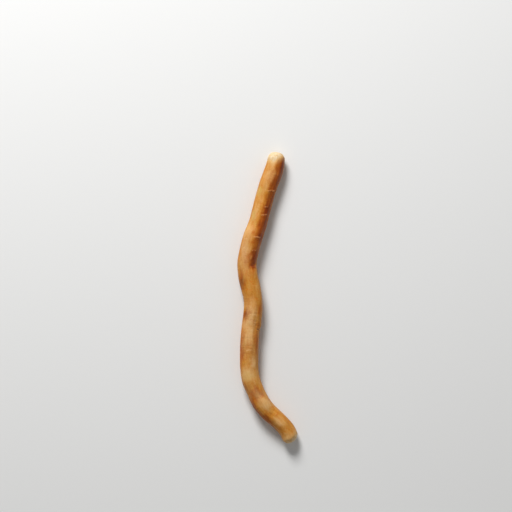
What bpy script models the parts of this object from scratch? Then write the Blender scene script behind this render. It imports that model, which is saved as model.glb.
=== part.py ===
"""A miswak stick: a short length of bent root in its thin bark, cut across at both ends.

It lies on its side along Y, with its bends in the XY plane. Metres, +Z up. The origin is on the
surface that it lies on, under the middle of its outline.
"""

import math

import bmesh
import bpy
import numpy as np
from mathutils import Vector, noise

MM = 0.001

# The middle line, from the +Y end to the -Y end: x, y, height over the surface, and radius, in mm.
MIDDLE_LINE = (
    (5.2, 83.3, 4.30, 4.75),
    (4.65, 77.1, 4.45, 5.05),
    (3.3, 72.1, 4.72, 5.30),
    (0.8, 65.6, 5.05, 5.30),
    (-1.45, 57.9, 5.10, 5.05),
    (-3.5, 50.2, 5.30, 5.20),
    (-5.5, 42.6, 5.25, 5.20),
    (-8.2, 35.1, 5.60, 5.50),
    (-10.3, 27.4, 5.43, 5.55),
    (-11.6, 19.4, 5.33, 5.55),
    (-10.95, 12.4, 5.50, 5.73),
    (-9.2, 4.8, 5.80, 5.65),
    (-8.2, -2.0, 5.75, 5.45),
    (-8.5, -8.4, 5.73, 5.43),
    (-9.6, -16.2, 5.60, 5.25),
    (-10.2, -24.2, 5.72, 5.47),
    (-10.5, -32.2, 5.47, 5.37),
    (-10.4, -40.0, 5.30, 5.35),
    (-9.4, -46.5, 5.30, 5.35),
    (-6.8, -52.7, 5.20, 5.10),
    (-3.85, -59.0, 5.65, 5.40),
    (0.3, -64.3, 5.40, 5.10),
    (6.3, -69.6, 4.95, 4.80),
    (11.0, -75.0, 4.45, 4.75),
    (14.2, -81.9, 4.12, 4.60),
)
STEPS_PER_STATION = 24

# The cut ends are worn round, and the bark thins out over the first few millimetres. Its edge lies
# nearer to the cut, by the edge's lean, on the side at the lean angle in degrees.
# The slant says how far the +X side of a cut lies towards the -Y end, as a share of its distance out.
RIM_RADIUS = 3.7
FACE_DOME = 0.25
BARK_THICKNESS = 0.22
BARK_TAPER = 1.6
BARK_EDGE_WANDER = 0.9
ENDS = {
    "upper": {"bark_edge": 4.9, "edge_lean": 2.0, "slant": 0.00},
    "lower": {"bark_edge": 2.6, "edge_lean": 0.0, "slant": -0.10},
}
LEAN_ANGLE = 45
SLANT_REACH = 9.0

# Rings and sides of the mesh.
SIDES = 28
RING_SPACING = 1.75
END_SPACING = 0.6
END_LENGTH = 6.4
RIM_STEPS = 6
FACE_RINGS = 3
LEAST_SPACING = 0.12

# Out-of-roundness as shares of the radius, and the lumps and lengthwise folds of the root in mm.
OVAL = 0.020
THREE_SIDED = 0.012
LUMP_HEIGHT = 0.22
LUMP_LENGTH = 11.0
FOLD_HEIGHT = 0.09
FOLD_COUNT = 9
FOLD_LENGTH = 30.0

# Marks in the bark lie at a distance from the +Y end in mm, and at an angle round the stick in
# degrees, where 0 faces +X and 90 faces up.
# Thin raised scars that run across the stick: along, angle, half reach in degrees, height.
SCARS = (
    (22.2, 57, 36, 0.20),
    (31.9, 64, 17, 0.15),
    (36.4, 64, 26, 0.18),
    (49.7, 66, 30, 0.20),
    (57.3, 60, 20, 0.12),
    (95.5, 72, 28, 0.06),
    (97.7, 58, 34, 0.06),
    (99.6, 54, 32, 0.07),
    (26.0, 238, 34, 0.18),
    (44.5, 300, 30, 0.20),
    (72.5, 205, 26, 0.16),
    (92.0, 262, 38, 0.22),
    (139.0, 285, 32, 0.20),
)
SCAR_WIDTH = 0.6

# Creases that run further round: along, angle, half reach in degrees, depth.
CREASES = (
    (103.4, 4, 50, 0.30),
    (109.0, 96, 74, 0.08),
    (113.2, 92, 66, 0.06),
    (121.0, 250, 60, 0.18),
    (155.4, 66, 60, 0.06),
    (84.0, 190, 48, 0.18),
)
CREASE_WIDTH = 0.75

# Broad swellings and hollows: along, angle, half length, half reach in degrees, height.
SWELLINGS = (
    (30.0, 160, 10.0, 60, 0.15),
    (41.0, 250, 8.0, 50, -0.30),
    (52.0, 150, 8.0, 55, 0.20),
    (70.5, 34, 5.0, 50, 0.40),
    (70.0, 160, 6.0, 45, -0.20),
    (94.9, 134, 4.0, 28, -0.30),
    (93.0, 84, 8.0, 48, 0.14),
    (100.8, 6, 4.8, 42, 0.50),
    (130.0, 282, 9.0, 60, 0.25),
    (147.8, 62, 6.0, 50, 0.35),
    (155.2, 78, 4.0, 70, -0.28),
    (163.0, 80, 5.0, 50, 0.32),
)

# The hollow inside the upper bend deepens slowly and ends at a sharp step.
HOLLOW = {"along": 67.7, "angle": 50, "length": 6.5, "reach": 32, "depth": 0.55, "step": 0.5}

# The scar of a side root, on the underside: a low collar round a sunken middle.
KNOT = {"along": 106.0, "angle": 312, "radius": 2.3, "height": 0.5, "pit": 0.7}


def catmull_rom(stations, steps):
    """A smooth curve through the stations, as rows like theirs."""
    before = 2 * stations[0] - stations[1]
    after = 2 * stations[-1] - stations[-2]
    knots = np.vstack([before, stations, after])
    t = np.linspace(0, 1, steps, endpoint=False)[:, None]
    spans = []
    for a, b, c, d in zip(knots, knots[1:], knots[2:], knots[3:]):
        bend = 2 * a - 5 * b + 4 * c - d
        twist = 3 * b - a - 3 * c + d
        spans.append(0.5 * (2 * b + (c - a) * t + bend * t**2 + twist * t**3))
    return np.vstack([*spans, stations[-1:]])


class Route:
    """The middle line, read by the distance along it."""

    def __init__(self):
        rows = catmull_rom(np.array(MIDDLE_LINE), STEPS_PER_STATION)
        self.radii = rows[:, 3]
        self.points = rows[:, :3]
        steps = np.linalg.norm(np.diff(self.points, axis=0), axis=1)
        self.places = np.concatenate([[0], np.cumsum(steps)])
        self.length = float(self.places[-1])
        self.directions = np.gradient(self.points, self.places, axis=0)

    def vector(self, rows, along):
        return Vector([float(np.interp(along, self.places, column)) for column in rows.T])

    def radius(self, along):
        return float(np.interp(along, self.places, self.radii))

    def axes(self, along):
        """The middle point there, and unit vectors along the stick, to its +X side and up."""
        forward = self.vector(self.directions, along).normalized()
        side = Vector((0, 0, 1)).cross(forward).normalized()
        return self.vector(self.points, along), forward, side, forward.cross(side)

    def end_at(self, along):
        """The nearer end's name, and how far away it is."""
        if along < self.length / 2:
            return "upper", along
        return "lower", self.length - along


def smooth_step(value):
    t = min(max(value, 0.0), 1.0)
    return t * t * (3 - 2 * t)


def bell(distance):
    """1 at no distance, falling smoothly to 0 at a distance of 1."""
    return (1 - distance * distance) ** 2 if abs(distance) < 1 else 0.0


def turn_between(angle, other):
    """How far apart two angles in degrees are, from 0 to 180."""
    return abs((angle - other + 180) % 360 - 180)


def line_across(along, angle, place, centre, reach, width):
    """How much of a thin line across the stick is felt at a place, fading towards its two tips."""
    fading = smooth_step(2 - 2 * turn_between(angle, centre) / reach)
    return fading * bell((along - place) / width)


def hollow_relief(along, angle):
    before_step = HOLLOW["along"] - along
    deepening = smooth_step(1 - before_step / HOLLOW["length"])
    sharp_end = smooth_step(0.5 + before_step / HOLLOW["step"])
    across = bell(turn_between(angle, HOLLOW["angle"]) / HOLLOW["reach"])
    return -HOLLOW["depth"] * deepening * sharp_end * across


def knot_relief(along, angle, radius):
    round_it = math.radians(turn_between(angle, KNOT["angle"])) * radius
    away = math.hypot(along - KNOT["along"], round_it) / KNOT["radius"]
    collar = KNOT["height"] * bell((away - 0.75) / 1.1)
    return collar - KNOT["pit"] * bell(away / 0.7)


def bark_relief(along, angle, radius):
    """Height in mm that the listed marks give the bark at a place."""
    height = hollow_relief(along, angle) + knot_relief(along, angle, radius)
    for place, centre, reach, rise in SCARS:
        height += rise * line_across(along, angle, place, centre, reach, SCAR_WIDTH)
    for place, centre, reach, depth in CREASES:
        height -= depth * line_across(along, angle, place, centre, reach, CREASE_WIDTH)
    for place, centre, half_length, reach, rise in SWELLINGS:
        away = math.hypot((along - place) / half_length, turn_between(angle, centre) / reach)
        height += rise * bell(away)
    return height


def grown_shape(along, angle, radius):
    """Distance out from the middle line to the grown root, never quite round, with lumps and folds."""
    turn = math.radians(angle)
    across, up = math.cos(turn), math.sin(turn)
    wander = along / 40
    share = 1 + OVAL * math.cos(2 * turn - wander) + THREE_SIDED * math.cos(3 * turn + 2 * wander)
    lump = LUMP_HEIGHT * noise.noise(Vector((1.4 * across, 1.4 * up, along / LUMP_LENGTH)))
    drift = noise.noise(Vector((along / FOLD_LENGTH, 4.0, 0.0)))
    fading = 0.5 + 0.5 * noise.noise(Vector((across, up, 7 + along / FOLD_LENGTH)))
    fold = FOLD_HEIGHT * fading * math.cos(FOLD_COUNT * turn + 5 * drift)
    return radius * share + lump + fold


def worn_rim(distance, out):
    """Distance out near a cut end, whose rim is a quarter circle."""
    inset = RIM_RADIUS - min(distance, RIM_RADIUS)
    return out - RIM_RADIUS + math.sqrt(RIM_RADIUS**2 - inset**2)


def bark_start(angle, end):
    """How far from the cut the bark starts, in a line that leans to one side and wanders."""
    turn = math.radians(angle)
    mean = ENDS[end]["bark_edge"]
    wander = noise.noise(Vector((2 * math.cos(turn), 2 * math.sin(turn), mean)))
    lean = ENDS[end]["edge_lean"] * math.cos(math.radians(angle - LEAN_ANGLE))
    return mean + 2 * BARK_EDGE_WANDER * wander - lean


def missing_bark(distance, angle, end):
    """How much the surface sinks where the bark has gone from a cut end."""
    return BARK_THICKNESS * smooth_step(0.5 + (bark_start(angle, end) - distance) / BARK_TAPER)


def surface_point(route, along, angle):
    """The point of the stick's side at a distance along it and an angle round it."""
    end, distance = route.end_at(along)
    middle, forward, side, up = route.axes(along)
    turn = math.radians(angle)
    radius = route.radius(along)
    out = grown_shape(along, angle, radius) + bark_relief(along, angle, radius)
    out = worn_rim(distance, out) - missing_bark(distance, angle, end)
    slant = ENDS[end]["slant"] * bell(distance / SLANT_REACH)
    outwards = side * math.cos(turn) + up * math.sin(turn)
    return middle + outwards * out + forward * (slant * out * math.cos(turn))


def ring_places(length):
    """Distances along the stick of the mesh's rings, closer on the rims, the ends and the thin marks."""
    rim = [RIM_RADIUS * (1 - math.cos(math.pi / 2 * i / RIM_STEPS)) for i in range(RIM_STEPS)]
    end = rim + list(np.arange(RIM_RADIUS, END_LENGTH, END_SPACING))
    marks = [(mark[0], SCAR_WIDTH) for mark in SCARS]
    marks += [(mark[0], CREASE_WIDTH) for mark in CREASES]
    marks += [(HOLLOW["along"], HOLLOW["step"])]
    close = [place + shift for place, width in marks for shift in (-width, 0, width)]
    close += end + [length - distance for distance in end]
    plain = np.arange(END_LENGTH, length - END_LENGTH, RING_SPACING)
    far = [place for place in plain if min(abs(place - other) for other in close) > RING_SPACING / 2]
    places = sorted(close + far)
    return [places[0]] + [b for a, b in zip(places, places[1:]) if b - a > LEAST_SPACING]


def join_rings(mesh, first, second):
    for i in range(SIDES):
        j = (i + 1) % SIDES
        mesh.faces.new((first[i], first[j], second[j], second[i]))


def close_end(mesh, rim, outwards):
    """Covers a cut end with smaller and smaller rings that rise to a low dome."""
    centre = sum((vertex.co for vertex in rim), Vector()) / SIDES
    outer = rim
    for step in range(1, FACE_RINGS):
        share = 1 - step / FACE_RINGS
        rise = outwards * (FACE_DOME * (1 - share * share) * MM)
        inner = [mesh.verts.new(centre.lerp(vertex.co, share) + rise) for vertex in rim]
        join_rings(mesh, outer, inner)
        outer = inner
    tip = mesh.verts.new(centre + outwards * (FACE_DOME * MM))
    for i in range(SIDES):
        mesh.faces.new((outer[i], outer[(i + 1) % SIDES], tip))


def stick_mesh():
    route = Route()
    mesh = bmesh.new()
    rings = []
    for along in ring_places(route.length):
        points = [surface_point(route, along, 360 * i / SIDES) for i in range(SIDES)]
        rings.append([mesh.verts.new(point * MM) for point in points])
    for first, second in zip(rings, rings[1:]):
        join_rings(mesh, first, second)
    close_end(mesh, rings[0], -route.axes(0)[1])
    close_end(mesh, rings[-1], route.axes(route.length)[1])
    bmesh.ops.recalc_face_normals(mesh, faces=mesh.faces)
    return mesh


def rest_over_origin(mesh):
    """Sets the stick down on the XY plane, with the middle of its outline over the origin."""
    points = np.array([vertex.co for vertex in mesh.verts])
    low, high = points.min(axis=0), points.max(axis=0)
    middle = (low + high) / 2
    bmesh.ops.translate(mesh, verts=mesh.verts, vec=(-middle[0], -middle[1], -low[2]))


def bark_material():
    material = bpy.data.materials.new("root_bark")
    material.use_nodes = True
    shader = material.node_tree.nodes["Principled BSDF"]
    shader.inputs["Base Color"].default_value = (0.50, 0.24, 0.075, 1)
    shader.inputs["Roughness"].default_value = 0.5
    shader.inputs["Metallic"].default_value = 0.0
    return material


def main():
    for old in list(bpy.data.objects):
        bpy.data.objects.remove(old, do_unlink=True)
    mesh = stick_mesh()
    rest_over_origin(mesh)
    data = bpy.data.meshes.new("stick")
    mesh.to_mesh(data)
    mesh.free()
    data.shade_smooth()
    data.materials.append(bark_material())
    bpy.context.scene.collection.objects.link(bpy.data.objects.new("stick", data))


main()
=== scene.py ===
"""Looks of the miswak stick: a bent length of root in smooth golden bark, cut across at both ends.

One piece stands for the CAD stick. It has the same middle line, lumps and marks in a much finer
mesh, with the wrinkles, pores and fibres that the CAD leaves out. Shapes are worked out in
millimetres, and become metres when the mesh is made.
"""

import math

import bpy
import numpy as np
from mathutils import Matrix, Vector, noise


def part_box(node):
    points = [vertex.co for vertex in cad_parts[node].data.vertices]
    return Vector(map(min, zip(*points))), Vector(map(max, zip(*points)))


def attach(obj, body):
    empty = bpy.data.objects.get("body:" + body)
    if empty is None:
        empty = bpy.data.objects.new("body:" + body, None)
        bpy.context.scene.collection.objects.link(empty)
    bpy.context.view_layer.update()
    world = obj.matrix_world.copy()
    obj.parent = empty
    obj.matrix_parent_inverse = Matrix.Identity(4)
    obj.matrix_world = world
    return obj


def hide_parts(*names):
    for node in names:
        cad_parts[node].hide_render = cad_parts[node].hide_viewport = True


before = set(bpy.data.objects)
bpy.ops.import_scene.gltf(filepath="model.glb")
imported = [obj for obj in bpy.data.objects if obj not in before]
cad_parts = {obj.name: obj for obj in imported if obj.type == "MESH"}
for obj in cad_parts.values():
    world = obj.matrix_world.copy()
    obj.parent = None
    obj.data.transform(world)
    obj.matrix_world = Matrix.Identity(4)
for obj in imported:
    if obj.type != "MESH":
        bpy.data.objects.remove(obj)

MM = 0.001

# The middle line, from the +Y end to the -Y end: x, y, height over the surface, and radius, in mm.
MIDDLE_LINE = (
    (5.2, 83.3, 4.30, 4.75),
    (4.65, 77.1, 4.45, 5.05),
    (3.3, 72.1, 4.72, 5.30),
    (0.8, 65.6, 5.05, 5.30),
    (-1.45, 57.9, 5.10, 5.05),
    (-3.5, 50.2, 5.30, 5.20),
    (-5.5, 42.6, 5.25, 5.20),
    (-8.2, 35.1, 5.60, 5.50),
    (-10.3, 27.4, 5.43, 5.55),
    (-11.6, 19.4, 5.33, 5.55),
    (-10.95, 12.4, 5.50, 5.73),
    (-9.2, 4.8, 5.80, 5.65),
    (-8.2, -2.0, 5.75, 5.45),
    (-8.5, -8.4, 5.73, 5.43),
    (-9.6, -16.2, 5.60, 5.25),
    (-10.2, -24.2, 5.72, 5.47),
    (-10.5, -32.2, 5.47, 5.37),
    (-10.4, -40.0, 5.30, 5.35),
    (-9.4, -46.5, 5.30, 5.35),
    (-6.8, -52.7, 5.20, 5.10),
    (-3.85, -59.0, 5.65, 5.40),
    (0.3, -64.3, 5.40, 5.10),
    (6.3, -69.6, 4.95, 4.80),
    (11.0, -75.0, 4.45, 4.75),
    (14.2, -81.9, 4.12, 4.60),
)
STEPS_PER_STATION = 24
MEAN_RADIUS = 5.2

# The cut ends are worn round, and the bark thins out over the first few millimetres. Its edge lies
# nearer to the cut, by the edge's lean, on the side at the lean angle in degrees.
# A tongue of bare wood reaches further: its angle, half reach in degrees, and extra length.
# The slant says how far the +X side of a cut lies towards the -Y end, as a share of its distance
# from the middle.
RIM_RADIUS = 3.7
FACE_DOME = 0.05
BARK_THICKNESS = 0.22
BARK_TAPER = 1.6
EDGE_WANDER = 1.8
EDGE_RAGGED = 0.5
ENDS = {
    "upper": {"bark_edge": 4.7, "edge_lean": 2.0, "tongue": (104, 32, 2.4), "slant": 0.00},
    "lower": {"bark_edge": 2.2, "edge_lean": 0.0, "tongue": (40, 45, 1.4), "slant": -0.10},
}
LEAN_ANGLE = 45
SLANT_REACH = 9.0

# Rings and sides of the mesh.
SIDES = 132
RING_SPACING = 0.26
RIM_STEPS = 20
FACE_RINGS = 5

# Noise on the skin is read on a circle round the stick. These are the circle's radii, in grains of
# the noise: the larger, the finer is the noise round the stick.
LUMP_GRAINS = 1.4
FOLD_GRAINS = 1
FURROW_GRAINS = 1
EDGE_WANDER_GRAINS = 2
EDGE_RAGGED_GRAINS = 9
MARK_WANDER_GRAINS = 3
MARK_RAGGED_GRAINS = 14
PATCH_GRAINS = 3

# Out-of-roundness as shares of the radius. Over the turning length the oval turns by half a radian,
# and the three sides by two thirds of one, the other way.
OVAL = 0.020
THREE_SIDED = 0.012
TURNING_LENGTH = 40

# The lumps and lengthwise folds of the root, in mm. The folds' waves shift to and fro round the
# stick by up to the drift, in radians of a wave.
LUMP_HEIGHT = 0.22
LUMP_LENGTH = 11.0
FOLD_HEIGHT = 0.09
FOLD_COUNT = 9
FOLD_LENGTH = 30.0
FOLD_DRIFT = 5
# Where along the noise the folds' drift and their fading start, so that neither is like the lumps.
FOLD_DRIFT_START = 4.0
FOLD_FADING_START = 7

# Marks in the bark lie at a distance from the +Y end in mm, and at an angle round the stick in
# degrees, where 0 faces +X and 90 faces up.
# Thin raised scars that run across the stick: along, angle, half reach in degrees, height.
SCARS = (
    (22.2, 57, 36, 0.20),
    (31.9, 64, 17, 0.15),
    (36.4, 64, 26, 0.18),
    (49.7, 66, 30, 0.20),
    (57.3, 60, 20, 0.12),
    (95.5, 72, 28, 0.06),
    (97.7, 58, 34, 0.06),
    (99.6, 54, 32, 0.07),
    (26.0, 238, 34, 0.18),
    (44.5, 300, 30, 0.20),
    (72.5, 205, 26, 0.16),
    (92.0, 262, 38, 0.22),
    (139.0, 285, 32, 0.20),
)
SCAR_WIDTH = 0.6
# The scars' height here, as a share of the CAD stick's.
SCAR_SHARE = 0.7

# Creases that run further round: along, angle, half reach in degrees, depth.
CREASES = (
    (103.4, 4, 50, 0.30),
    (109.0, 96, 74, 0.08),
    (113.2, 92, 66, 0.06),
    (121.0, 250, 60, 0.18),
    (155.4, 66, 60, 0.06),
    (84.0, 190, 48, 0.18),
)
CREASE_WIDTH = 0.75

# Thin lines of colour across the bark: along, angle, half reach in degrees, and how dark, or pale
# where it is under 0.
FINE_LINES = (
    (6.6, 45, 20, 0.5),
    (8.2, 46, 28, 0.7),
    (13.0, 70, 14, 0.5),
    (15.5, 64, 16, 0.5),
    (21.2, 60, 36, 0.9),
    (29.0, 60, 26, 0.5),
    (32.8, 66, 24, 0.8),
    (38.0, 66, 22, 0.8),
    (42.8, 84, 24, 0.5),
    (47.6, 58, 28, 0.5),
    (51.4, 66, 26, 0.7),
    (52.6, 130, 16, -0.6),
    (58.6, 62, 26, 0.5),
    (94.1, 62, 22, 1.0),
    (95.2, 88, 30, -0.8),
    (97.9, 100, 62, 0.6),
    (98.9, 62, 28, 0.9),
    (99.9, 56, 32, 1.1),
    (100.9, 48, 26, 1.2),
    (104.6, 30, 24, 1.0),
    (112.4, 88, 28, 0.6),
    (114.0, 104, 46, 0.9),
    (115.4, 92, 24, -0.8),
    (116.9, 92, 52, 0.7),
    (143.8, 100, 40, 0.5),
)
FINE_LINE_WIDTH = 0.55
# Marks wander a little off a straight line and are ragged. Those of the upper part lean: their
# +X side lies nearer to the +Y end. All in mm.
MARK_WANDER = 0.35
MARK_RAGGED = 0.30
MARK_LEAN = 1.5
LEANING_LENGTH = 62.0

# Broad swellings and hollows: along, angle, half length, half reach in degrees, height.
SWELLINGS = (
    (30.0, 160, 10.0, 60, 0.15),
    (41.0, 250, 8.0, 50, -0.30),
    (52.0, 150, 8.0, 55, 0.20),
    (70.5, 34, 5.0, 50, 0.40),
    (70.0, 160, 6.0, 45, -0.20),
    (94.9, 134, 4.0, 28, -0.30),
    (93.0, 84, 8.0, 48, 0.14),
    (100.8, 6, 4.8, 42, 0.50),
    (130.0, 282, 9.0, 60, 0.25),
    (147.8, 62, 6.0, 50, 0.35),
    (155.2, 78, 4.0, 70, -0.28),
    (163.0, 80, 5.0, 50, 0.32),
)

# The hollow inside the upper bend deepens slowly and ends at a sharp step.
HOLLOW = {"along": 67.7, "angle": 50, "length": 6.5, "reach": 32, "depth": 0.55, "step": 0.5}

# The scar of a side root, on the underside: a low collar round a sunken middle. The collar's middle
# line, its half width and the pit's radius are shares of the scar's radius.
KNOT = {"along": 106.0, "angle": 312, "radius": 2.3, "height": 0.5, "depth": 0.7}
KNOT_COLLAR = 0.75
KNOT_COLLAR_WIDTH = 1.1
KNOT_PIT = 0.7

# Fine relief that only this mesh has: height, width round the stick and length along it, in mm.
# They start at different places along the noise, so that no two are alike.
WRINKLES = {"height": 0.050, "width": 1.0, "length": 11.0, "start": 0.0}
RIPPLES = {"height": 0.030, "width": 4.0, "length": 0.8, "start": 20.0}
BUMPS = {"height": 0.050, "width": 1.9, "length": 2.6, "start": 40.0}
FIBRES = {"height": 0.070, "width": 0.5, "length": 6.0, "start": 70.0}
# The end grain is made of dots on the cut faces, with a height and a width.
END_GRAIN = {"height": 0.050, "width": 0.5}
# Long thin furrows run where this noise crosses zero, and a second noise picks where they are deep.
FURROWS = {"height": 0.035, "width": 2.2, "length": 20.0, "start": 90.0, "sharpness": 0.16}
FURROW_PLACES = {"length": 16, "start": 30, "contrast": 2}

# Small marks strewn over the bark: how many, half reach in degrees, height, half width in mm.
SMALL_SCARS = {"count": 60, "reach": (7, 20), "height": (0.04, 0.09), "width": 0.40}
SMALL_CRACKS = {"count": 90, "reach": (10, 48), "height": (-0.06, -0.02), "width": 0.38}
PORES = {"count": 220, "reach": (4, 9), "height": (0.03, 0.07), "width": 0.32}
STREWN_SEED = 11
# The share of the stick's length that is kept clear of them at each end.
STREWN_MARGIN = 0.04

# The heights in mm that count as 1 in the masks which the colours follow.
MARK_MASK_HEIGHT = 0.2
FINE_MASK_HEIGHT = 0.1

# The bark's tone runs from 0, dark red-brown, to 1, pale gold, round this middle value. Its warmth
# runs from -1, yellow, to 1, red.
MIDDLE_TONE = 0.63
# These patches shift both: along, angle, half length, half reach in degrees, tone, warmth. Most are
# blotches in the bark's own colour. The rows noted below paint shade or highlights into it.
COLOUR_SHADE_AND_HIGHLIGHT_PATCHES = (
    (5.2, 58, 3.4, 34, -0.12, 0.30),
    (7.0, 124, 6.0, 60, 0.04, 0.05),
    (9.0, 44, 5.0, 30, -0.10, 0.30),
    # Partly the bark's own red-brown, partly painted shade: the upper arm's right flank, turned
    # from the light, made darker and redder.
    (12.0, 42, 22.0, 70, -0.36, 0.40),
    (12.0, 74, 7.0, 20, -0.04, -0.60),
    (17.0, 142, 9.0, 40, 0.02, 0.10),
    (19.8, 50, 4.0, 30, 0.08, 0.35),
    (24.6, 142, 5.0, 36, -0.02, -0.90),
    (31.7, 60, 2.8, 38, -0.16, 0.28),
    (33.8, 58, 3.0, 26, -0.12, 0.35),
    # Painted highlight on the lit left side.
    (34.4, 126, 6.0, 34, 0.14, 0.05),
    (38.2, 138, 4.5, 36, 0.04, -0.85),
    # Partly the bark's own red-brown, partly painted shade along the upper arm's right flank.
    (42.0, 44, 30.0, 72, -0.42, 0.45),
    (42.5, 84, 8.0, 34, 0.06, 0.10),
    (42.6, 98, 4.0, 22, 0.00, -0.70),
    (45.0, 46, 6.0, 36, 0.14, 0.10),
    # Painted highlight on the lit left side.
    (46.4, 142, 8.0, 36, 0.16, 0.00),
    (48.8, 52, 3.6, 34, -0.12, 0.15),
    # Painted shade in the hollow inside the upper bend, with the flank's red-brown.
    (62.6, 52, 8.5, 40, -0.36, 0.40),
    (63.0, 112, 11.0, 60, -0.12, -0.08),
    (65.6, 96, 4.0, 32, -0.10, 0.00),
    # Painted shade at the deep end of the hollow.
    (67.9, 58, 2.6, 40, -0.24, 0.10),
    (70.5, 56, 3.4, 36, -0.02, 0.35),
    (74.6, 114, 3.5, 30, -0.05, -0.40),
    # Painted shade on the left flank below the upper bend.
    (75.6, 148, 8.4, 54, -0.44, -0.28),
    (92.0, 42, 6.0, 36, -0.14, 0.30),
    (95.5, 70, 7.0, 20, 0.04, 0.35),
    (95.6, 138, 5.8, 44, -0.42, -0.08),
    # Painted highlight on the swelling.
    (96.0, 84, 6.0, 40, 0.10, 0.04),
    (96.8, 58, 6.0, 34, -0.02, 0.40),
    (100.6, 44, 3.8, 32, -0.08, 0.25),
    (104.0, 166, 5.0, 28, -0.02, 0.20),
    (104.5, 106, 10.0, 44, 0.18, -0.15),
    (107.6, 124, 4.0, 64, -0.10, 0.00),
    (111.5, 42, 11.0, 36, -0.20, 0.35),
    (114.0, 138, 15.0, 40, -0.20, 0.10),
    (118.0, 92, 6.0, 40, 0.02, 0.18),
    (119.0, 150, 9.0, 28, -0.08, 0.20),
    # Painted highlight down the middle section.
    (122.4, 64, 5.5, 30, 0.22, 0.00),
    (129.6, 92, 5.5, 90, 0.12, -0.70),
    (137.0, 132, 4.5, 30, -0.12, -0.30),
    (141.8, 88, 6.5, 80, -0.40, -0.50),
    # Painted highlight on a lump of the lower arm.
    (148.0, 60, 6.0, 44, 0.20, 0.05),
    # Painted shade on the lower arm's left flank.
    (152.0, 156, 16.0, 50, -0.30, 0.15),
    (155.2, 116, 4.0, 46, -0.06, 0.20),
    # Painted highlight on a lump of the lower arm.
    (162.4, 82, 5.5, 42, 0.18, 0.00),
    (167.0, 56, 4.0, 40, -0.05, 0.05),
    (168.6, 68, 4.0, 32, 0.00, -0.10),
    (172.0, 110, 3.2, 40, 0.10, -0.10),
)
# Patches with a paler, pinker skin: along, angle, half length, half reach in degrees, share. A
# share under 0 takes that skin away where other patches put it. Those on the lit side are partly
# painted highlight, as noted by their rows.
PALE_SKIN_AND_HIGHLIGHT_PATCHES = (
    # The next four lie on the upper arm's lit left side: partly the skin's own paleness, partly
    # painted highlight.
    (15.0, 106, 10.0, 50, 0.42),
    (36.0, 128, 18.0, 44, 0.20),
    (53.0, 124, 13.0, 48, 0.55),
    (63.0, 112, 11.0, 54, 0.42),
    (71.0, 96, 6.0, 50, 0.20),
    (95.4, 140, 6.0, 44, -0.60),
    (97.5, 106, 17.0, 68, 0.80),
    (113.5, 92, 12.0, 90, 0.34),
    # Painted highlight down the middle section.
    (121.5, 60, 5.5, 42, 0.45),
    (129.0, 92, 7.0, 90, 0.45),
    (138.0, 100, 7.0, 60, 0.22),
    # Painted highlight on a lump of the lower arm.
    (147.5, 68, 8.5, 60, 0.50),
    # Painted highlight on a lump of the lower arm.
    (161.5, 86, 5.0, 40, 0.45),
    (168.4, 66, 3.6, 34, -0.60),
    (172.0, 110, 4.5, 50, 0.35),
)
# The columns of these two tables that the masks read.
TONE_COLUMN = 4
WARMTH_COLUMN = 5
PALE_COLUMN = 4
# The patches' borders wander along, in mm, and round the stick, in degrees, over this length. The
# second wander starts at its own place along the noise.
PATCH_WARP = {"along": 1.8, "angle": 16.0, "length": 4.0, "angle_start": 50}

# Noises that colour and roughen the bark: width and length of their grains in mm, detail and
# distortion.
BARK_NOISES = {
    "clouds": (3.6, 7.0, 2.0, 0.0),
    "streaks": (0.9, 9.0, 4.0, 0.4),
    "threads": (0.22, 2.6, 2.0, 0.0),
    "mottle": (0.8, 0.8, 3.0, 0.0),
    "hues": (3.5, 9.0, 2.0, 0.0),
    "flecks": (1.5, 1.1, 2.0, 0.3),
    "folds": (0.9, 14.0, 2.0, 0.3),
    "pits": (0.45, 0.25, 1.0, 0.0),
    "cracks": (2.8, 0.16, 1.0, 0.0),
    "broken": (4.0, 6.0, 1.0, 0.0),
}
# The same for the bare wood, the wander of its rings, and the frayed edge of the bark.
WOOD_NOISES = {
    "grain": (0.28, 5.0, 3.0, 0.0),
    "clouds": (2.0, 4.0, 2.0, 0.0),
    "ring wander": (1.6, 9.0, 2.0, 0.0),
    "frayed edge": (0.45, 2.0, 3.0, 0.0),
}
# Thin wrinkles lie where the noise of the folds is this near to its middle value.
NOISE_MIDDLE = 0.5
WRINKLE_SHARPNESS = 0.045
# The first value is where each of these starts to show in its noise or mask, and the second is
# where it shows in full.
SHOWN = {
    "wrinkled": (0.40, 0.60),
    "pits": (0.64, 0.78),
    "cracks": (0.68, 0.80),
    "broken": (0.44, 0.62),
    "flecks": (0.56, 0.67),
    "scars": (0.05, 0.75),
    "creases": (0.1, 1.6),
    "dark lines": (0.0, 1.0),
    "pale lines": (0.0, -1.0),
    "bare wood": (-0.7, 0.7),
    "weathered wood": (2.4, -0.6),
}
# The same in the warmth, for colours that keep to redder or yellower places.
SHOWN_BY_WARMTH = {
    "red": (0.0, 1.0),
    "olive": (0.0, -1.0),
    "flecks": (-0.7, 0.0),
    "pale": (0.55, -0.05),
    "rubbed": (0.75, 0.25),
}

# How far each noise swings the tone, the fine relief's share in it, which paints shade in its
# hollows and light on its crests, and how far the hues' noise swings the warmth.
TONE_SWINGS = {"clouds": 0.20, "streaks": 0.13, "threads": 0.07, "mottle": 0.10}
RELIEF_SHADE_TONE = 0.06
HUE_SWING = 0.8
BARK_TONES = (
    (0.00, (0.100, 0.018, 0.005)),
    (0.20, (0.250, 0.052, 0.007)),
    (0.40, (0.420, 0.115, 0.010)),
    (0.60, (0.560, 0.225, 0.028)),
    (0.80, (0.680, 0.355, 0.098)),
    (1.00, (0.800, 0.540, 0.240)),
)
RED_TINT = (1.000, 0.710, 0.550)
FLECK_STRENGTH = 0.68
OLIVE_GOLD = (0.600, 0.360, 0.085)
OLIVE_STRENGTH = 0.8
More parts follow.
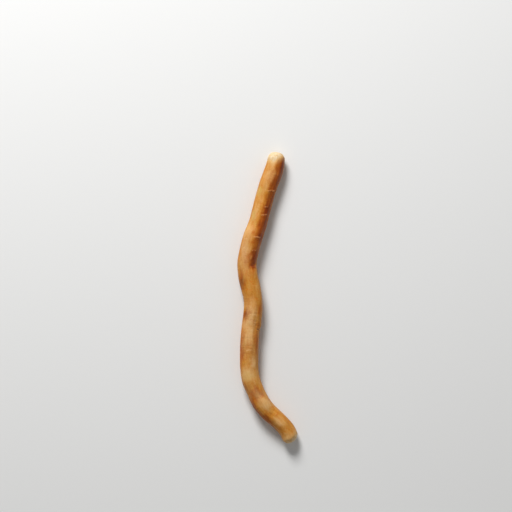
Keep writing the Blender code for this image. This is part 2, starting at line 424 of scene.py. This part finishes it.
# The pale skin, partly painted highlight on the lit side, is blotchy: its middle strength, and how
# far the noises swing it.
PALE_SKIN_AND_HIGHLIGHT_COLOUR = (0.720, 0.450, 0.215)
PALE_STRENGTH = 0.8
PALE_SWINGS = {"mottle": 0.6, "clouds": 0.5}

# Colours of the marks in the bark, and how strongly they show. The mottle breaks up the scars. The
# creases, and the pits, cracks and wrinkles, are darkened with painted shade.
SCAR_COLOUR = (0.680, 0.290, 0.100)
SCAR_STRENGTH = 0.62
SCAR_MOTTLE = 0.9
CREASE_SHADE_COLOUR = (0.820, 0.700, 0.620)
DARK_LINE_COLOUR = (0.680, 0.480, 0.330)
DARK_LINE_STRENGTH = 0.55
PALE_LINE_COLOUR = (0.880, 0.560, 0.260)
PALE_LINE_STRENGTH = 0.45
SMALL_MARK_SHADE_COLOUR = (0.700, 0.420, 0.220)
SMALL_MARK_SHADE_STRENGTH = 0.3

# Over the last few mm before the wood starts, the bark's outer skin is rubbed off.
RUBBED_COLOUR = (0.675, 0.405, 0.155)
RUBBED_LENGTH = 3.6
RUBBED_STRENGTH = 0.75
# How far the bark's edge is frayed, in mm.
EDGE_FRAY = 1.6

# The bare wood: its yearly rings and how far they wander, in mm, and its tone.
RING_WIDTH = 0.75
RING_WANDER = 0.5
MIDDLE_WOOD_TONE = 0.62
WOOD_SWINGS = {"grain": 0.5, "clouds": 0.25, "rings": 0.10}
WOOD_TONES = (
    (0.00, (0.400, 0.220, 0.090)),
    (0.35, (0.620, 0.400, 0.170)),
    (0.70, (0.780, 0.610, 0.385)),
    (1.00, (0.830, 0.710, 0.530)),
)

# Satin bark and dull wood.
BARK_ROUGHNESS = 0.47
ROUGHNESS_SWINGS = {"mottle": 0.10, "streaks": 0.06}
WOOD_DULLNESS = 0.28
GLOSS = 0.25
GLOSS_TINT = (1.000, 0.780, 0.500)
BARK_COAT = 0.06
COAT_ROUGHNESS = 0.35
# The finest relief, in the materials alone: how deep it is in mm, and each noise's share in it.
BUMP_DEPTH = 0.12
BARK_RELIEF = {"streaks": 0.6, "threads": 0.35, "mottle": 0.3, "wrinkles": -0.20, "pitted": -0.3}
WOOD_RELIEF = {"grain": 0.9, "rings": 0.25}

# The photograph's frame: the point under its middle and the size of a pixel, in mm, and its width
# in pixels. The lens and the sensor are the camera's, in mm.
PHOTO_MIDDLE = (-6.49, 23.81)
PIXEL = 0.57
PHOTO_PIXELS = 512
STICK_MIDDLE_HEIGHT = 5.3
LENS = 200.0
SENSOR = 36.0

# The room: half the floor's width in metres, its colour, and the light from all round.
FLOOR_HALF = 2.0
FLOOR_COLOUR = (0.80, 0.80, 0.79)
FLOOR_ROUGHNESS = 0.8
ROOM_COLOUR = (1.0, 1.0, 1.0)
ROOM_STRENGTH = 0.20
# Soft square lights aimed at the stick: place and width in metres, and power in watts.
LIGHTS = {
    "key": ((-0.28, 0.84, 0.69), 0.4, 14.0),
    "fill": ((0.5, -0.6, 0.8), 0.9, 1.0),
}


def catmull_rom(stations, steps):
    """A smooth curve through the stations, as rows like theirs."""
    before = 2 * stations[0] - stations[1]
    after = 2 * stations[-1] - stations[-2]
    knots = np.vstack([before, stations, after])
    t = np.linspace(0, 1, steps, endpoint=False)[:, None]
    spans = []
    for a, b, c, d in zip(knots, knots[1:], knots[2:], knots[3:]):
        bend = 2 * a - 5 * b + 4 * c - d
        twist = 3 * b - a - 3 * c + d
        spans.append(0.5 * (2 * b + (c - a) * t + bend * t**2 + twist * t**3))
    return np.vstack([*spans, stations[-1:]])


def unit(rows):
    return rows / np.linalg.norm(rows, axis=-1, keepdims=True)


class Route:
    """The middle line, read by the distance along it."""

    def __init__(self):
        rows = catmull_rom(np.array(MIDDLE_LINE), STEPS_PER_STATION)
        self.radii = rows[:, 3]
        self.points = rows[:, :3]
        steps = np.linalg.norm(np.diff(self.points, axis=0), axis=1)
        self.places = np.concatenate([[0], np.cumsum(steps)])
        self.length = float(self.places[-1])
        self.directions = np.gradient(self.points, self.places, axis=0)

    def read(self, rows, along):
        return np.stack([np.interp(along, self.places, column) for column in rows.T], axis=-1)

    def radius(self, along):
        return np.interp(along, self.places, self.radii)

    def axes(self, along):
        """The middle points there, and unit vectors along the stick, to its +X side and up."""
        forward = unit(self.read(self.directions, along))
        side = unit(np.cross((0.0, 0.0, 1.0), forward))
        return self.read(self.points, along), forward, side, np.cross(forward, side)


def smooth_step(value):
    t = np.clip(value, 0, 1)
    return t * t * (3 - 2 * t)


def bell(distance):
    """1 at no distance, falling smoothly to 0 at a distance of 1."""
    return np.where(np.abs(distance) < 1, (1 - distance**2) ** 2, 0.0)


def turn_between(angle, other):
    """How far apart two angles in degrees are, from 0 to 180."""
    return np.abs((angle - other + 180) % 360 - 180)


def perlin(x, y, z):
    """Blender's noise at every point of a grid."""
    x, y, z = np.broadcast_arrays(x, y, z)
    rows = np.stack([x.ravel(), y.ravel(), z.ravel()], axis=1).tolist()
    return np.array([noise.noise(Vector(row)) for row in rows]).reshape(x.shape)


def skin_noise(grains, angle, level):
    """Noise on a circle round the stick, with this many grains to the circle's radius."""
    turn = np.radians(angle)
    return perlin(grains * np.cos(turn), grains * np.sin(turn), level)


def grain_noise(relief, along, angle):
    """Noise whose grains have the relief's width round the stick and its length along it."""
    level = along / relief["length"] + relief["start"]
    return skin_noise(MEAN_RADIUS / relief["width"], angle, level)


def felt_lines(along, angle, marks, half_width):
    """The summed heights of thin lines across the stick, each fading towards its two tips."""
    height = np.zeros((len(along), angle.shape[1]))
    across = np.cos(np.radians(angle))
    furthest = half_width + MARK_WANDER + MARK_RAGGED + 2 * MARK_LEAN
    for place, centre, reach, rise in marks:
        near = np.abs(along[:, 0] - place) < furthest
        lean = MARK_LEAN * (across - math.cos(math.radians(centre))) * (place < LEANING_LENGTH)
        ragged = skin_noise(MARK_RAGGED_GRAINS, angle, place)
        wander = MARK_WANDER * skin_noise(MARK_WANDER_GRAINS, angle, place)
        away = along[near] - place + lean - (wander + MARK_RAGGED * ragged)
        fading = smooth_step(2 - 2 * turn_between(angle, centre) / reach) * (1 + ragged)
        height[near] += rise * fading * bell(away / half_width)
    return height


def felt_patches(along, angle, patches):
    """The summed heights of round patches."""
    height = 0.0
    for place, centre, half_length, reach, rise in patches:
        away = np.hypot((along - place) / half_length, turn_between(angle, centre) / reach)
        height = height + rise * bell(away)
    return height


def wandering_patches(along, angle, patches, column):
    """What the patches add in one of their columns, with wandering borders."""
    level = along / PATCH_WARP["length"]
    along_by = PATCH_WARP["along"] * skin_noise(PATCH_GRAINS, angle, level)
    turned_level = PATCH_WARP["angle_start"] + level
    angle_by = PATCH_WARP["angle"] * skin_noise(PATCH_GRAINS, angle, turned_level)
    rows = [(*patch[:4], patch[column]) for patch in patches]
    return felt_patches(along + along_by, angle + angle_by, rows)


def felt_hollow(along, angle):
    """0 to 1, the share of the hollow's depth."""
    before_step = HOLLOW["along"] - along
    deepening = smooth_step(1 - before_step / HOLLOW["length"])
    sharp_end = smooth_step(0.5 + before_step / HOLLOW["step"])
    return deepening * sharp_end * bell(turn_between(angle, HOLLOW["angle"]) / HOLLOW["reach"])


def knot_relief(along, angle, radius):
    round_it = np.radians(turn_between(angle, KNOT["angle"])) * radius
    away = np.hypot(along - KNOT["along"], round_it) / KNOT["radius"]
    collar = KNOT["height"] * bell((away - KNOT_COLLAR) / KNOT_COLLAR_WIDTH)
    return collar - KNOT["depth"] * bell(away / KNOT_PIT)


def strewn_marks(kind, length, rng):
    """Small marks in places picked by chance: along, angle, half reach, height."""
    count = kind["count"]
    places = rng.uniform(STREWN_MARGIN * length, (1 - STREWN_MARGIN) * length, count)
    angles = rng.uniform(0, 360, count)
    reaches = rng.uniform(*kind["reach"], count)
    heights = rng.uniform(*kind["height"], count)
    return list(zip(places, angles, reaches, heights))


def grown_shape(along, angle, radius):
    """Distance out from the middle line to the grown root, never quite round, lumpy and folded."""
    turn = np.radians(angle)
    turned = along / TURNING_LENGTH
    share = 1 + OVAL * np.cos(2 * turn - turned) + THREE_SIDED * np.cos(3 * turn + 2 * turned)
    lump = LUMP_HEIGHT * skin_noise(LUMP_GRAINS, angle, along / LUMP_LENGTH)
    level = along / FOLD_LENGTH
    drift = FOLD_DRIFT * perlin(level, FOLD_DRIFT_START, 0.0)
    fading = 0.5 + 0.5 * skin_noise(FOLD_GRAINS, angle, FOLD_FADING_START + level)
    fold = FOLD_HEIGHT * fading * np.cos(FOLD_COUNT * turn + drift)
    return radius * share + lump + fold


def worn_rim(distance, out):
    """Distance out near a cut end, whose rim is a quarter circle."""
    inset = RIM_RADIUS - np.minimum(distance, RIM_RADIUS)
    return out - RIM_RADIUS + np.sqrt(RIM_RADIUS**2 - inset**2)


def furrow_relief(along, angle):
    crossing = bell(grain_noise(FURROWS, along, angle) / FURROWS["sharpness"])
    level = FURROW_PLACES["start"] + along / FURROW_PLACES["length"]
    places = skin_noise(FURROW_GRAINS, angle, level)
    return -FURROWS["height"] * crossing * smooth_step(0.5 + FURROW_PLACES["contrast"] * places)


def bark_start(angle, end):
    """How far from the cut the bark starts: its line leans to one side, wanders and is ragged."""
    mean = ENDS[end]["bark_edge"]
    wander = EDGE_WANDER * skin_noise(EDGE_WANDER_GRAINS, angle, mean)
    ragged = EDGE_RAGGED * skin_noise(EDGE_RAGGED_GRAINS, angle, mean)
    lean = ENDS[end]["edge_lean"] * np.cos(np.radians(angle - LEAN_ANGLE))
    centre, reach, extra = ENDS[end]["tongue"]
    tongue = extra * bell(turn_between(angle, centre) / reach)
    return mean + wander + ragged - lean + tongue


def bark_marks(along, angle, length):
    """The heights of the scars and the depths of the creases, with the small strewn ones."""
    rng = np.random.default_rng(STREWN_SEED)
    small_scars = strewn_marks(SMALL_SCARS, length, rng)
    small_cracks = strewn_marks(SMALL_CRACKS, length, rng)
    pores = strewn_marks(PORES, length, rng)
    scars = felt_lines(along, angle, SCARS, SCAR_WIDTH)
    scars += felt_lines(along, angle, small_scars, SMALL_SCARS["width"])
    scars += felt_lines(along, angle, pores, PORES["width"])
    creases = felt_lines(along, angle, CREASES, CREASE_WIDTH)
    creases -= felt_lines(along, angle, small_cracks, SMALL_CRACKS["width"])
    return scars, creases


def fine_relief(along, angle, wood):
    """Wrinkles, ripples, bumps and furrows in the bark, and fibres in the bare wood."""
    reliefs = (WRINKLES, RIPPLES, BUMPS)
    bark = sum(relief["height"] * grain_noise(relief, along, angle) for relief in reliefs)
    bark = bark + furrow_relief(along, angle)
    fibres = FIBRES["height"] * grain_noise(FIBRES, along, angle)
    return bark * (1 - wood) + fibres * wood


def cut_shape(along, distance, share, upper, across, up):
    """How far the points lie ahead of their rings: a cut's slant, its dome and its end grain."""
    size = END_GRAIN["width"]
    end_grain = END_GRAIN["height"] * perlin(across / size, up / size, along)
    rise = (FACE_DOME * (1 - share**2) + end_grain * (share < 1)) * np.where(upper, -1, 1)
    slant = np.where(upper, ENDS["upper"]["slant"], ENDS["lower"]["slant"])
    return slant * bell(distance / SLANT_REACH) * across + rise


def ring_rows(length):
    """Each ring's distance along the stick, and its share of the way out, under 1 on a cut face."""
    turns = np.linspace(0, math.pi / 2, RIM_STEPS, endpoint=False)
    rim = RIM_RADIUS * (1 - np.cos(turns))
    count = round((length - 2 * RIM_RADIUS) / RING_SPACING)
    plain = np.linspace(RIM_RADIUS, length - RIM_RADIUS, count)
    side = np.concatenate([rim, plain, length - rim[::-1]])
    inner = np.arange(1, FACE_RINGS) / FACE_RINGS
    along = np.concatenate([np.zeros_like(inner), side, np.full_like(inner, length)])
    share = np.concatenate([inner, np.ones_like(side), inner[::-1]])
    return along[:, None], share[:, None]


def stick_surface(route):
    """The grid of the stick's points, ring by ring, and the masks that its colours follow."""
    along, share = ring_rows(route.length)
    angle = np.arange(SIDES)[None, :] * 360.0 / SIDES
    turn = np.radians(angle)
    upper = along < route.length / 2
    distance = np.where(upper, along, route.length - along)
    bare = np.where(upper, bark_start(angle, "upper"), bark_start(angle, "lower")) - distance
    wood = smooth_step(0.5 + bare / BARK_TAPER)
    scars, creases = bark_marks(along, angle, route.length)
    fine = fine_relief(along, angle, wood)

    radius = route.radius(along)
    out = grown_shape(along, angle, radius) + knot_relief(along, angle, radius)
    out += felt_patches(along, angle, SWELLINGS) - HOLLOW["depth"] * felt_hollow(along, angle)
    out += (SCAR_SHARE * scars - creases) * (1 - wood) + fine
    out = (worn_rim(distance, out) - BARK_THICKNESS * wood) * share

    to_side = out * np.cos(turn)
    to_top = out * np.sin(turn)
    ahead = cut_shape(along, distance, share, upper, to_side, to_top)
    middle, forward, side, up = (rows[:, None] for rows in route.axes(along[:, 0]))
    points = middle + side * to_side[..., None] + up * to_top[..., None]
    points = points + forward * ahead[..., None]

    tips, tip_forward = route.axes(np.array([0.0, route.length]))[:2]
    tips = tips + tip_forward * FACE_DOME * np.array([[-1.0], [1.0]])
    masks = {
        # The tone, warmth and pale masks hold painted shade and highlights as well as the bark's
        # own blotches.
        "tone": wandering_patches(along, angle, COLOUR_SHADE_AND_HIGHLIGHT_PATCHES, TONE_COLUMN),
        "warmth": wandering_patches(along, angle, COLOUR_SHADE_AND_HIGHLIGHT_PATCHES, WARMTH_COLUMN),
        "pale": wandering_patches(along, angle, PALE_SKIN_AND_HIGHLIGHT_PATCHES, PALE_COLUMN),
        "bare": bare,
        "scar": scars / MARK_MASK_HEIGHT,
        "crease": creases / MARK_MASK_HEIGHT,
        "line": felt_lines(along, angle, FINE_LINES, FINE_LINE_WIDTH),
        "fine": fine / FINE_MASK_HEIGHT,
        "grain": np.stack(np.broadcast_arrays(to_side, to_top, along), axis=-1),
    }
    return points, tips, masks


def stick_faces(rings):
    """Quads between neighbouring rings, and a fan of triangles round each tip."""
    i = np.arange(SIDES)
    j = (i + 1) % SIDES
    starts = np.arange(rings - 1)[:, None] * SIDES
    quads = np.stack([starts + i, starts + j, starts + SIDES + j, starts + SIDES + i], axis=-1)
    last = (rings - 1) * SIDES
    upper_tip, lower_tip = rings * SIDES, rings * SIDES + 1
    faces = quads.reshape(-1, 4).tolist()
    faces += [(upper_tip, b, a) for a, b in zip(i.tolist(), j.tolist())]
    faces += [(last + a, last + b, lower_tip) for a, b in zip(i.tolist(), j.tolist())]
    return faces


def over_cad_box(points):
    """The points moved so that they rest where the CAD stick does."""
    low, high = (np.array(corner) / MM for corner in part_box("stick"))
    shift = (low + high - points.min(axis=0) - points.max(axis=0)) / 2
    shift[2] = low[2] - points[:, 2].min()
    return points + shift


def add_masks(mesh, masks, length):
    """Stores the masks on the mesh's points, ring by ring, with a row for each tip at the end."""
    for name, values in masks.items():
        if name == "grain":
            rows = np.concatenate([values.reshape(-1, 3), [(0, 0, 0), (0, 0, length)]])
            attribute = mesh.attributes.new(name, "FLOAT_VECTOR", "POINT")
            attribute.data.foreach_set("vector", rows.astype(np.float32).ravel())
        else:
            rows = np.concatenate([values.ravel(), [values[0].mean(), values[-1].mean()]])
            attribute = mesh.attributes.new(name, "FLOAT", "POINT")
            attribute.data.foreach_set("value", rows.astype(np.float32))


def stick_object():
    route = Route()
    grid, tips, masks = stick_surface(route)
    points = over_cad_box(np.concatenate([grid.reshape(-1, 3), tips]))
    mesh = bpy.data.meshes.new("stick_bark")
    mesh.from_pydata((points * MM).tolist(), [], stick_faces(len(grid)))
    add_masks(mesh, masks, route.length)
    mesh.shade_smooth()
    piece = bpy.data.objects.new("stick_bark", mesh)
    bpy.context.scene.collection.objects.link(piece)
    return piece


class Shading:
    """One material's nodes. Apart from put and node, its calls add nodes and return outputs."""

    def __init__(self, name):
        self.material = bpy.data.materials.new(name)
        self.material.use_nodes = True
        self.tree = self.material.node_tree
        self.shader = self.tree.nodes["Principled BSDF"]

    def put(self, socket, value):
        if isinstance(value, bpy.types.NodeSocket):
            self.tree.links.new(value, socket)
        else:
            socket.default_value = value

    def node(self, kind, **settings):
        node = self.tree.nodes.new(kind)
        for name, value in settings.items():
            setattr(node, name, value)
        return node

    def attribute(self, name, output="Fac"):
        return self.node("ShaderNodeAttribute", attribute_name=name).outputs[output]

    def scaled(self, vector, factors):
        node = self.node("ShaderNodeVectorMath", operation="MULTIPLY")
        self.put(node.inputs[0], vector)
        node.inputs[1].default_value = factors
        return node.outputs[0]

    def noise(self, grain, width, length, detail, distortion):
        """Noise in the stick's own coordinates, with grains this wide and this long in mm."""
        node = self.node("ShaderNodeTexNoise")
        vector = self.scaled(grain, (1 / width, 1 / width, 1 / length))
        self.put(node.inputs["Vector"], vector)
        node.inputs["Scale"].default_value = 1.0
        node.inputs["Detail"].default_value = detail
        node.inputs["Distortion"].default_value = distortion
        return node.outputs["Fac"]

    def noises(self, grain, table):
        """The table's noises by name."""
        return {name: self.noise(grain, *settings) for name, settings in table.items()}

    def maths(self, operation, first, second=0.0, third=0.0, clamp=False):
        node = self.node("ShaderNodeMath", operation=operation, use_clamp=clamp)
        for socket, value in zip(node.inputs, (first, second, third)):
            self.put(socket, value)
        return node.outputs[0]

    def times(self, first, second, clamp=False):
        return self.maths("MULTIPLY", first, second, clamp=clamp)

    def total(self, *values):
        result = values[0]
        for value in values[1:]:
            result = self.maths("ADD", result, value)
        return result

    def swing(self, value, amount):
        """A noise value turned into a swing of this size about 0."""
        return self.maths("MULTIPLY_ADD", value, 2 * amount, -amount)

    def swings(self, noises, amounts):
        """Each of the named noises, turned into a swing of its own size."""
        return [self.swing(noises[name], amount) for name, amount in amounts.items()]

    def shares(self, noises, amounts):
        """Each of the named noises, times its own amount."""
        return [self.times(noises[name], amount) for name, amount in amounts.items()]

    def step(self, value, start, full):
        """0 at the start, 1 at the full value, and smooth between them. Either may be larger."""
        node = self.node("ShaderNodeMapRange", interpolation_type="SMOOTHSTEP")
        self.put(node.inputs["Value"], value)
        node.inputs["From Min"].default_value = start
        node.inputs["From Max"].default_value = full
        return node.outputs["Result"]

    def ramp(self, value, stops):
        node = self.node("ShaderNodeValToRGB")
        self.put(node.inputs["Fac"], value)
        elements = node.color_ramp.elements
        while len(elements) < len(stops):
            elements.new(0.5)
        for element, (position, colour) in zip(elements, stops):
            element.position = position
            element.color = (*colour, 1.0)
        return node.outputs["Color"]

    def mix(self, share, first, second, blend="MIX"):
        """The two colours mixed. A colour mix has its share and colours in inputs 0, 6 and 7."""
        node = self.node("ShaderNodeMix", data_type="RGBA", blend_type=blend)
        for socket, value in ((0, share), (6, first), (7, second)):
            value = (*value, 1.0) if isinstance(value, tuple) else value
            self.put(node.inputs[socket], value)
        return node.outputs[2]

    def bump(self, height, distance):
        node = self.node("ShaderNodeBump")
        node.inputs["Distance"].default_value = distance
        self.put(node.inputs["Height"], height)
        return node.outputs["Normal"]


def bark_noises(s, grain):
    """The bark's noises by name. Wrinkles, and pits with cracks, are 0 where there are none."""
    noises = s.noises(grain, BARK_NOISES)
    crossing = s.maths("ABSOLUTE", s.maths("SUBTRACT", noises["folds"], NOISE_MIDDLE))
    wrinkled = s.step(noises["clouds"], *SHOWN["wrinkled"])
    noises["wrinkles"] = s.times(s.step(crossing, WRINKLE_SHARPNESS, 0.0), wrinkled)
    pits = s.step(noises["pits"], *SHOWN["pits"])
    cracks = s.step(noises["cracks"], *SHOWN["cracks"])
    broken = s.step(noises["broken"], *SHOWN["broken"])
    noises["pitted"] = s.times(s.maths("MAXIMUM", pits, cracks), broken)
    return noises


def wood_noises(s, grain):
    """The wood's noises by name, and its rings, which go from 0 to 1 and back once a year."""
    noises = s.noises(grain, WOOD_NOISES)
    away = s.node("ShaderNodeVectorMath", operation="LENGTH")
    s.put(away.inputs[0], s.scaled(grain, (1, 1, 0)))
    wandered = s.total(away.outputs["Value"], s.swing(noises["ring wander"], RING_WANDER))
    turns = s.times(wandered, 2 * math.pi / RING_WIDTH)
    noises["rings"] = s.maths("MULTIPLY_ADD", s.maths("SINE", turns), 0.5, 0.5)
    return noises


def skin_colour(s, noises):
    """From dark red-brown to pale gold, with red flecks, red, olive and pale places, painted shade
    on some flanks and in the relief's hollows, and painted highlights on the lit side.
    """
    tone = s.total(
        *s.swings(noises, TONE_SWINGS),
        s.times(s.attribute("fine"), RELIEF_SHADE_TONE),
        s.attribute("tone"),
        MIDDLE_TONE,
    )
    colour = s.ramp(tone, BARK_TONES)
    warmth = s.total(s.swing(noises["hues"], HUE_SWING), s.attribute("warmth"))
    flecks = s.times(s.step(noises["flecks"], *SHOWN["flecks"]), FLECK_STRENGTH)
    flecks = s.times(flecks, s.step(warmth, *SHOWN_BY_WARMTH["flecks"]))
    redness = s.maths("MAXIMUM", s.step(warmth, *SHOWN_BY_WARMTH["red"]), flecks)
    colour = s.mix(redness, colour, RED_TINT, blend="MULTIPLY")
    olive = s.times(s.step(warmth, *SHOWN_BY_WARMTH["olive"]), OLIVE_STRENGTH)
    colour = s.mix(olive, colour, OLIVE_GOLD)
    blotchy = s.total(*s.swings(noises, PALE_SWINGS), PALE_STRENGTH)
    not_red = s.step(s.attribute("warmth"), *SHOWN_BY_WARMTH["pale"])
    pale = s.times(s.attribute("pale"), s.times(blotchy, not_red), clamp=True)
    return s.mix(pale, colour, PALE_SKIN_AND_HIGHLIGHT_COLOUR)


def marked_colour(s, noises, colour):
    """The skin's colour with its scars and lines over it, and painted shade in its creases, pits,
    cracks and wrinkles.
    """
    scar_share = s.total(SCAR_STRENGTH, s.swing(noises["mottle"], SCAR_MOTTLE))
    scars = s.times(s.step(s.attribute("scar"), *SHOWN["scars"]), scar_share, clamp=True)
    colour = s.mix(scars, colour, SCAR_COLOUR)
    # Painted shade in the creases.
    creases = s.step(s.attribute("crease"), *SHOWN["creases"])
    colour = s.mix(creases, colour, CREASE_SHADE_COLOUR, blend="MULTIPLY")
    dark = s.times(s.step(s.attribute("line"), *SHOWN["dark lines"]), DARK_LINE_STRENGTH)
    colour = s.mix(dark, colour, DARK_LINE_COLOUR, blend="MULTIPLY")
    pale = s.times(s.step(s.attribute("line"), *SHOWN["pale lines"]), PALE_LINE_STRENGTH)
    colour = s.mix(pale, colour, PALE_LINE_COLOUR)
    # Painted shade in the pits, cracks and wrinkles.
    recess_shade = s.times(s.maths("MAXIMUM", noises["pitted"], noises["wrinkles"]), SMALL_MARK_SHADE_STRENGTH)
    return s.mix(recess_shade, colour, SMALL_MARK_SHADE_COLOUR, blend="MULTIPLY")


def bark_colour(s, noises):
    """The marked skin, rubbed off towards the ends except in its reddest places."""
    colour = marked_colour(s, noises, skin_colour(s, noises))
    rubbed = s.step(s.attribute("bare"), -RUBBED_LENGTH, 0.0)
    rubbed = s.times(rubbed, s.step(s.attribute("warmth"), *SHOWN_BY_WARMTH["rubbed"]))
    return s.mix(s.times(rubbed, RUBBED_STRENGTH), colour, RUBBED_COLOUR)


def wood_colour(s, noises):
    """Pale wood with grain and rings, weathered darker towards the bark."""
    tone = s.total(*s.swings(noises, WOOD_SWINGS), MIDDLE_WOOD_TONE)
    weathered = s.step(s.attribute("bare"), *SHOWN["weathered wood"])
    return s.mix(weathered, s.ramp(tone, WOOD_TONES), RUBBED_COLOUR)


def bark_material():
    """Golden bark mottled with red-brown, with scars, creases and bare wood at the ends."""
    s = Shading("miswak_bark")
    grain = s.attribute("grain", "Vector")
    bark = bark_noises(s, grain)
    wood = wood_noises(s, grain)
    frayed = s.total(s.attribute("bare"), s.swing(wood["frayed edge"], EDGE_FRAY))
    bareness = s.step(frayed, *SHOWN["bare wood"])
    colour = s.mix(bareness, bark_colour(s, bark), wood_colour(s, wood))
    dullness = s.total(BARK_ROUGHNESS, *s.swings(bark, ROUGHNESS_SWINGS))
    wood_relief = s.times(s.total(*s.shares(wood, WOOD_RELIEF)), bareness)
    relief = s.total(*s.shares(bark, BARK_RELIEF), wood_relief)

    inputs = s.shader.inputs
    s.put(inputs["Base Color"], colour)
    s.put(inputs["Roughness"], s.maths("MULTIPLY_ADD", bareness, WOOD_DULLNESS, dullness))
    s.put(inputs["Normal"], s.bump(relief, BUMP_DEPTH * MM))
    s.put(inputs["Coat Weight"], s.maths("MULTIPLY_ADD", bareness, -BARK_COAT, BARK_COAT))
    inputs["Coat Roughness"].default_value = COAT_ROUGHNESS
    inputs["Specular IOR Level"].default_value = GLOSS
    inputs["Specular Tint"].default_value = (*GLOSS_TINT, 1.0)
    return s.material


def floor_material():
    s = Shading("pale_floor")
    s.shader.inputs["Base Color"].default_value = (*FLOOR_COLOUR, 1.0)
    s.shader.inputs["Roughness"].default_value = FLOOR_ROUGHNESS
    return s.material


def add_floor():
    mesh = bpy.data.meshes.new("floor")
    sides = ((-1, -1), (1, -1), (1, 1), (-1, 1))
    corners = [(x * FLOOR_HALF, y * FLOOR_HALF, 0) for x, y in sides]
    mesh.from_pydata(corners, [], [(0, 1, 2, 3)])
    mesh.materials.append(floor_material())
    floor = bpy.data.objects.new("floor", mesh)
    bpy.context.scene.collection.objects.link(floor)


def add_camera():
    """Looks straight down, with +Y up in the picture."""
    data = bpy.data.cameras.new("camera")
    data.sensor_width = SENSOR
    data.lens = LENS
    camera = bpy.data.objects.new("camera", data)
    height = STICK_MIDDLE_HEIGHT + PIXEL * PHOTO_PIXELS * LENS / SENSOR
    camera.location = Vector((*PHOTO_MIDDLE, height)) * MM
    bpy.context.scene.collection.objects.link(camera)
    bpy.context.scene.camera = camera


def add_light(name, place, size, power):
    """A soft square light aimed at the stick."""
    data = bpy.data.lights.new(name, "AREA")
    data.size = size
    data.energy = power
    light = bpy.data.objects.new(name, data)
    light.location = place
    light.rotation_euler = (-Vector(place)).to_track_quat("-Z", "Y").to_euler()
    light.visible_camera = False
    bpy.context.scene.collection.objects.link(light)


def add_room():
    """Even light from all round, as in a white room."""
    world = bpy.data.worlds.new("room")
    world.use_nodes = True
    background = world.node_tree.nodes["Background"]
    background.inputs["Color"].default_value = (*ROOM_COLOUR, 1.0)
    background.inputs["Strength"].default_value = ROOM_STRENGTH
    bpy.context.scene.world = world
    bpy.context.scene.view_settings.view_transform = "Standard"


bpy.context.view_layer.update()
stick = stick_object()
stick.data.materials.append(bark_material())
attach(stick, "root")
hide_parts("stick")

add_floor()
add_camera()
add_room()
for light_name, settings in LIGHTS.items():
    add_light(light_name, *settings)
